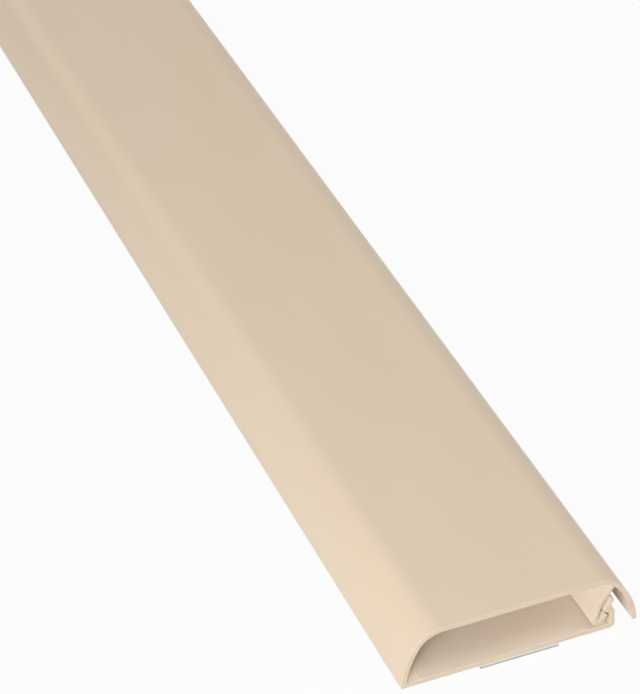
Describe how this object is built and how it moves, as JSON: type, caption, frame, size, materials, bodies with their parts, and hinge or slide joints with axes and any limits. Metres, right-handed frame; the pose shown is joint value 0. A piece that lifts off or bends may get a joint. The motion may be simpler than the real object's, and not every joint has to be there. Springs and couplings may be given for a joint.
{
  "type": "cord cover raceway",
  "caption": "Straight stick of low wide plastic cord cover with curved sides, thin hinge web, hooked latch, finger lip and adhesive tape on its back.",
  "frame": {"origin": "middle of the stick, on the surface it lies on, under the centre of its overall box", "axes": "+Y along the stick, +X across it from the hinge side to the latch side, +Z out of the wall or floor it is stuck to"},
  "size_m": [0.0699, 1, 0.0183],
  "materials": {
    "raceway": "smooth, satin, ivory to light tan",
    "foam_tape": "fine closed-cell foam, off-white",
    "liner": "smooth coated paper, light grey"
  },
  "bodies": {
    "root": {"raceway_channel": "raceway", "adhesive_tape": "foam_tape", "release_liner": "liner"}
  },
  "joints": []
}
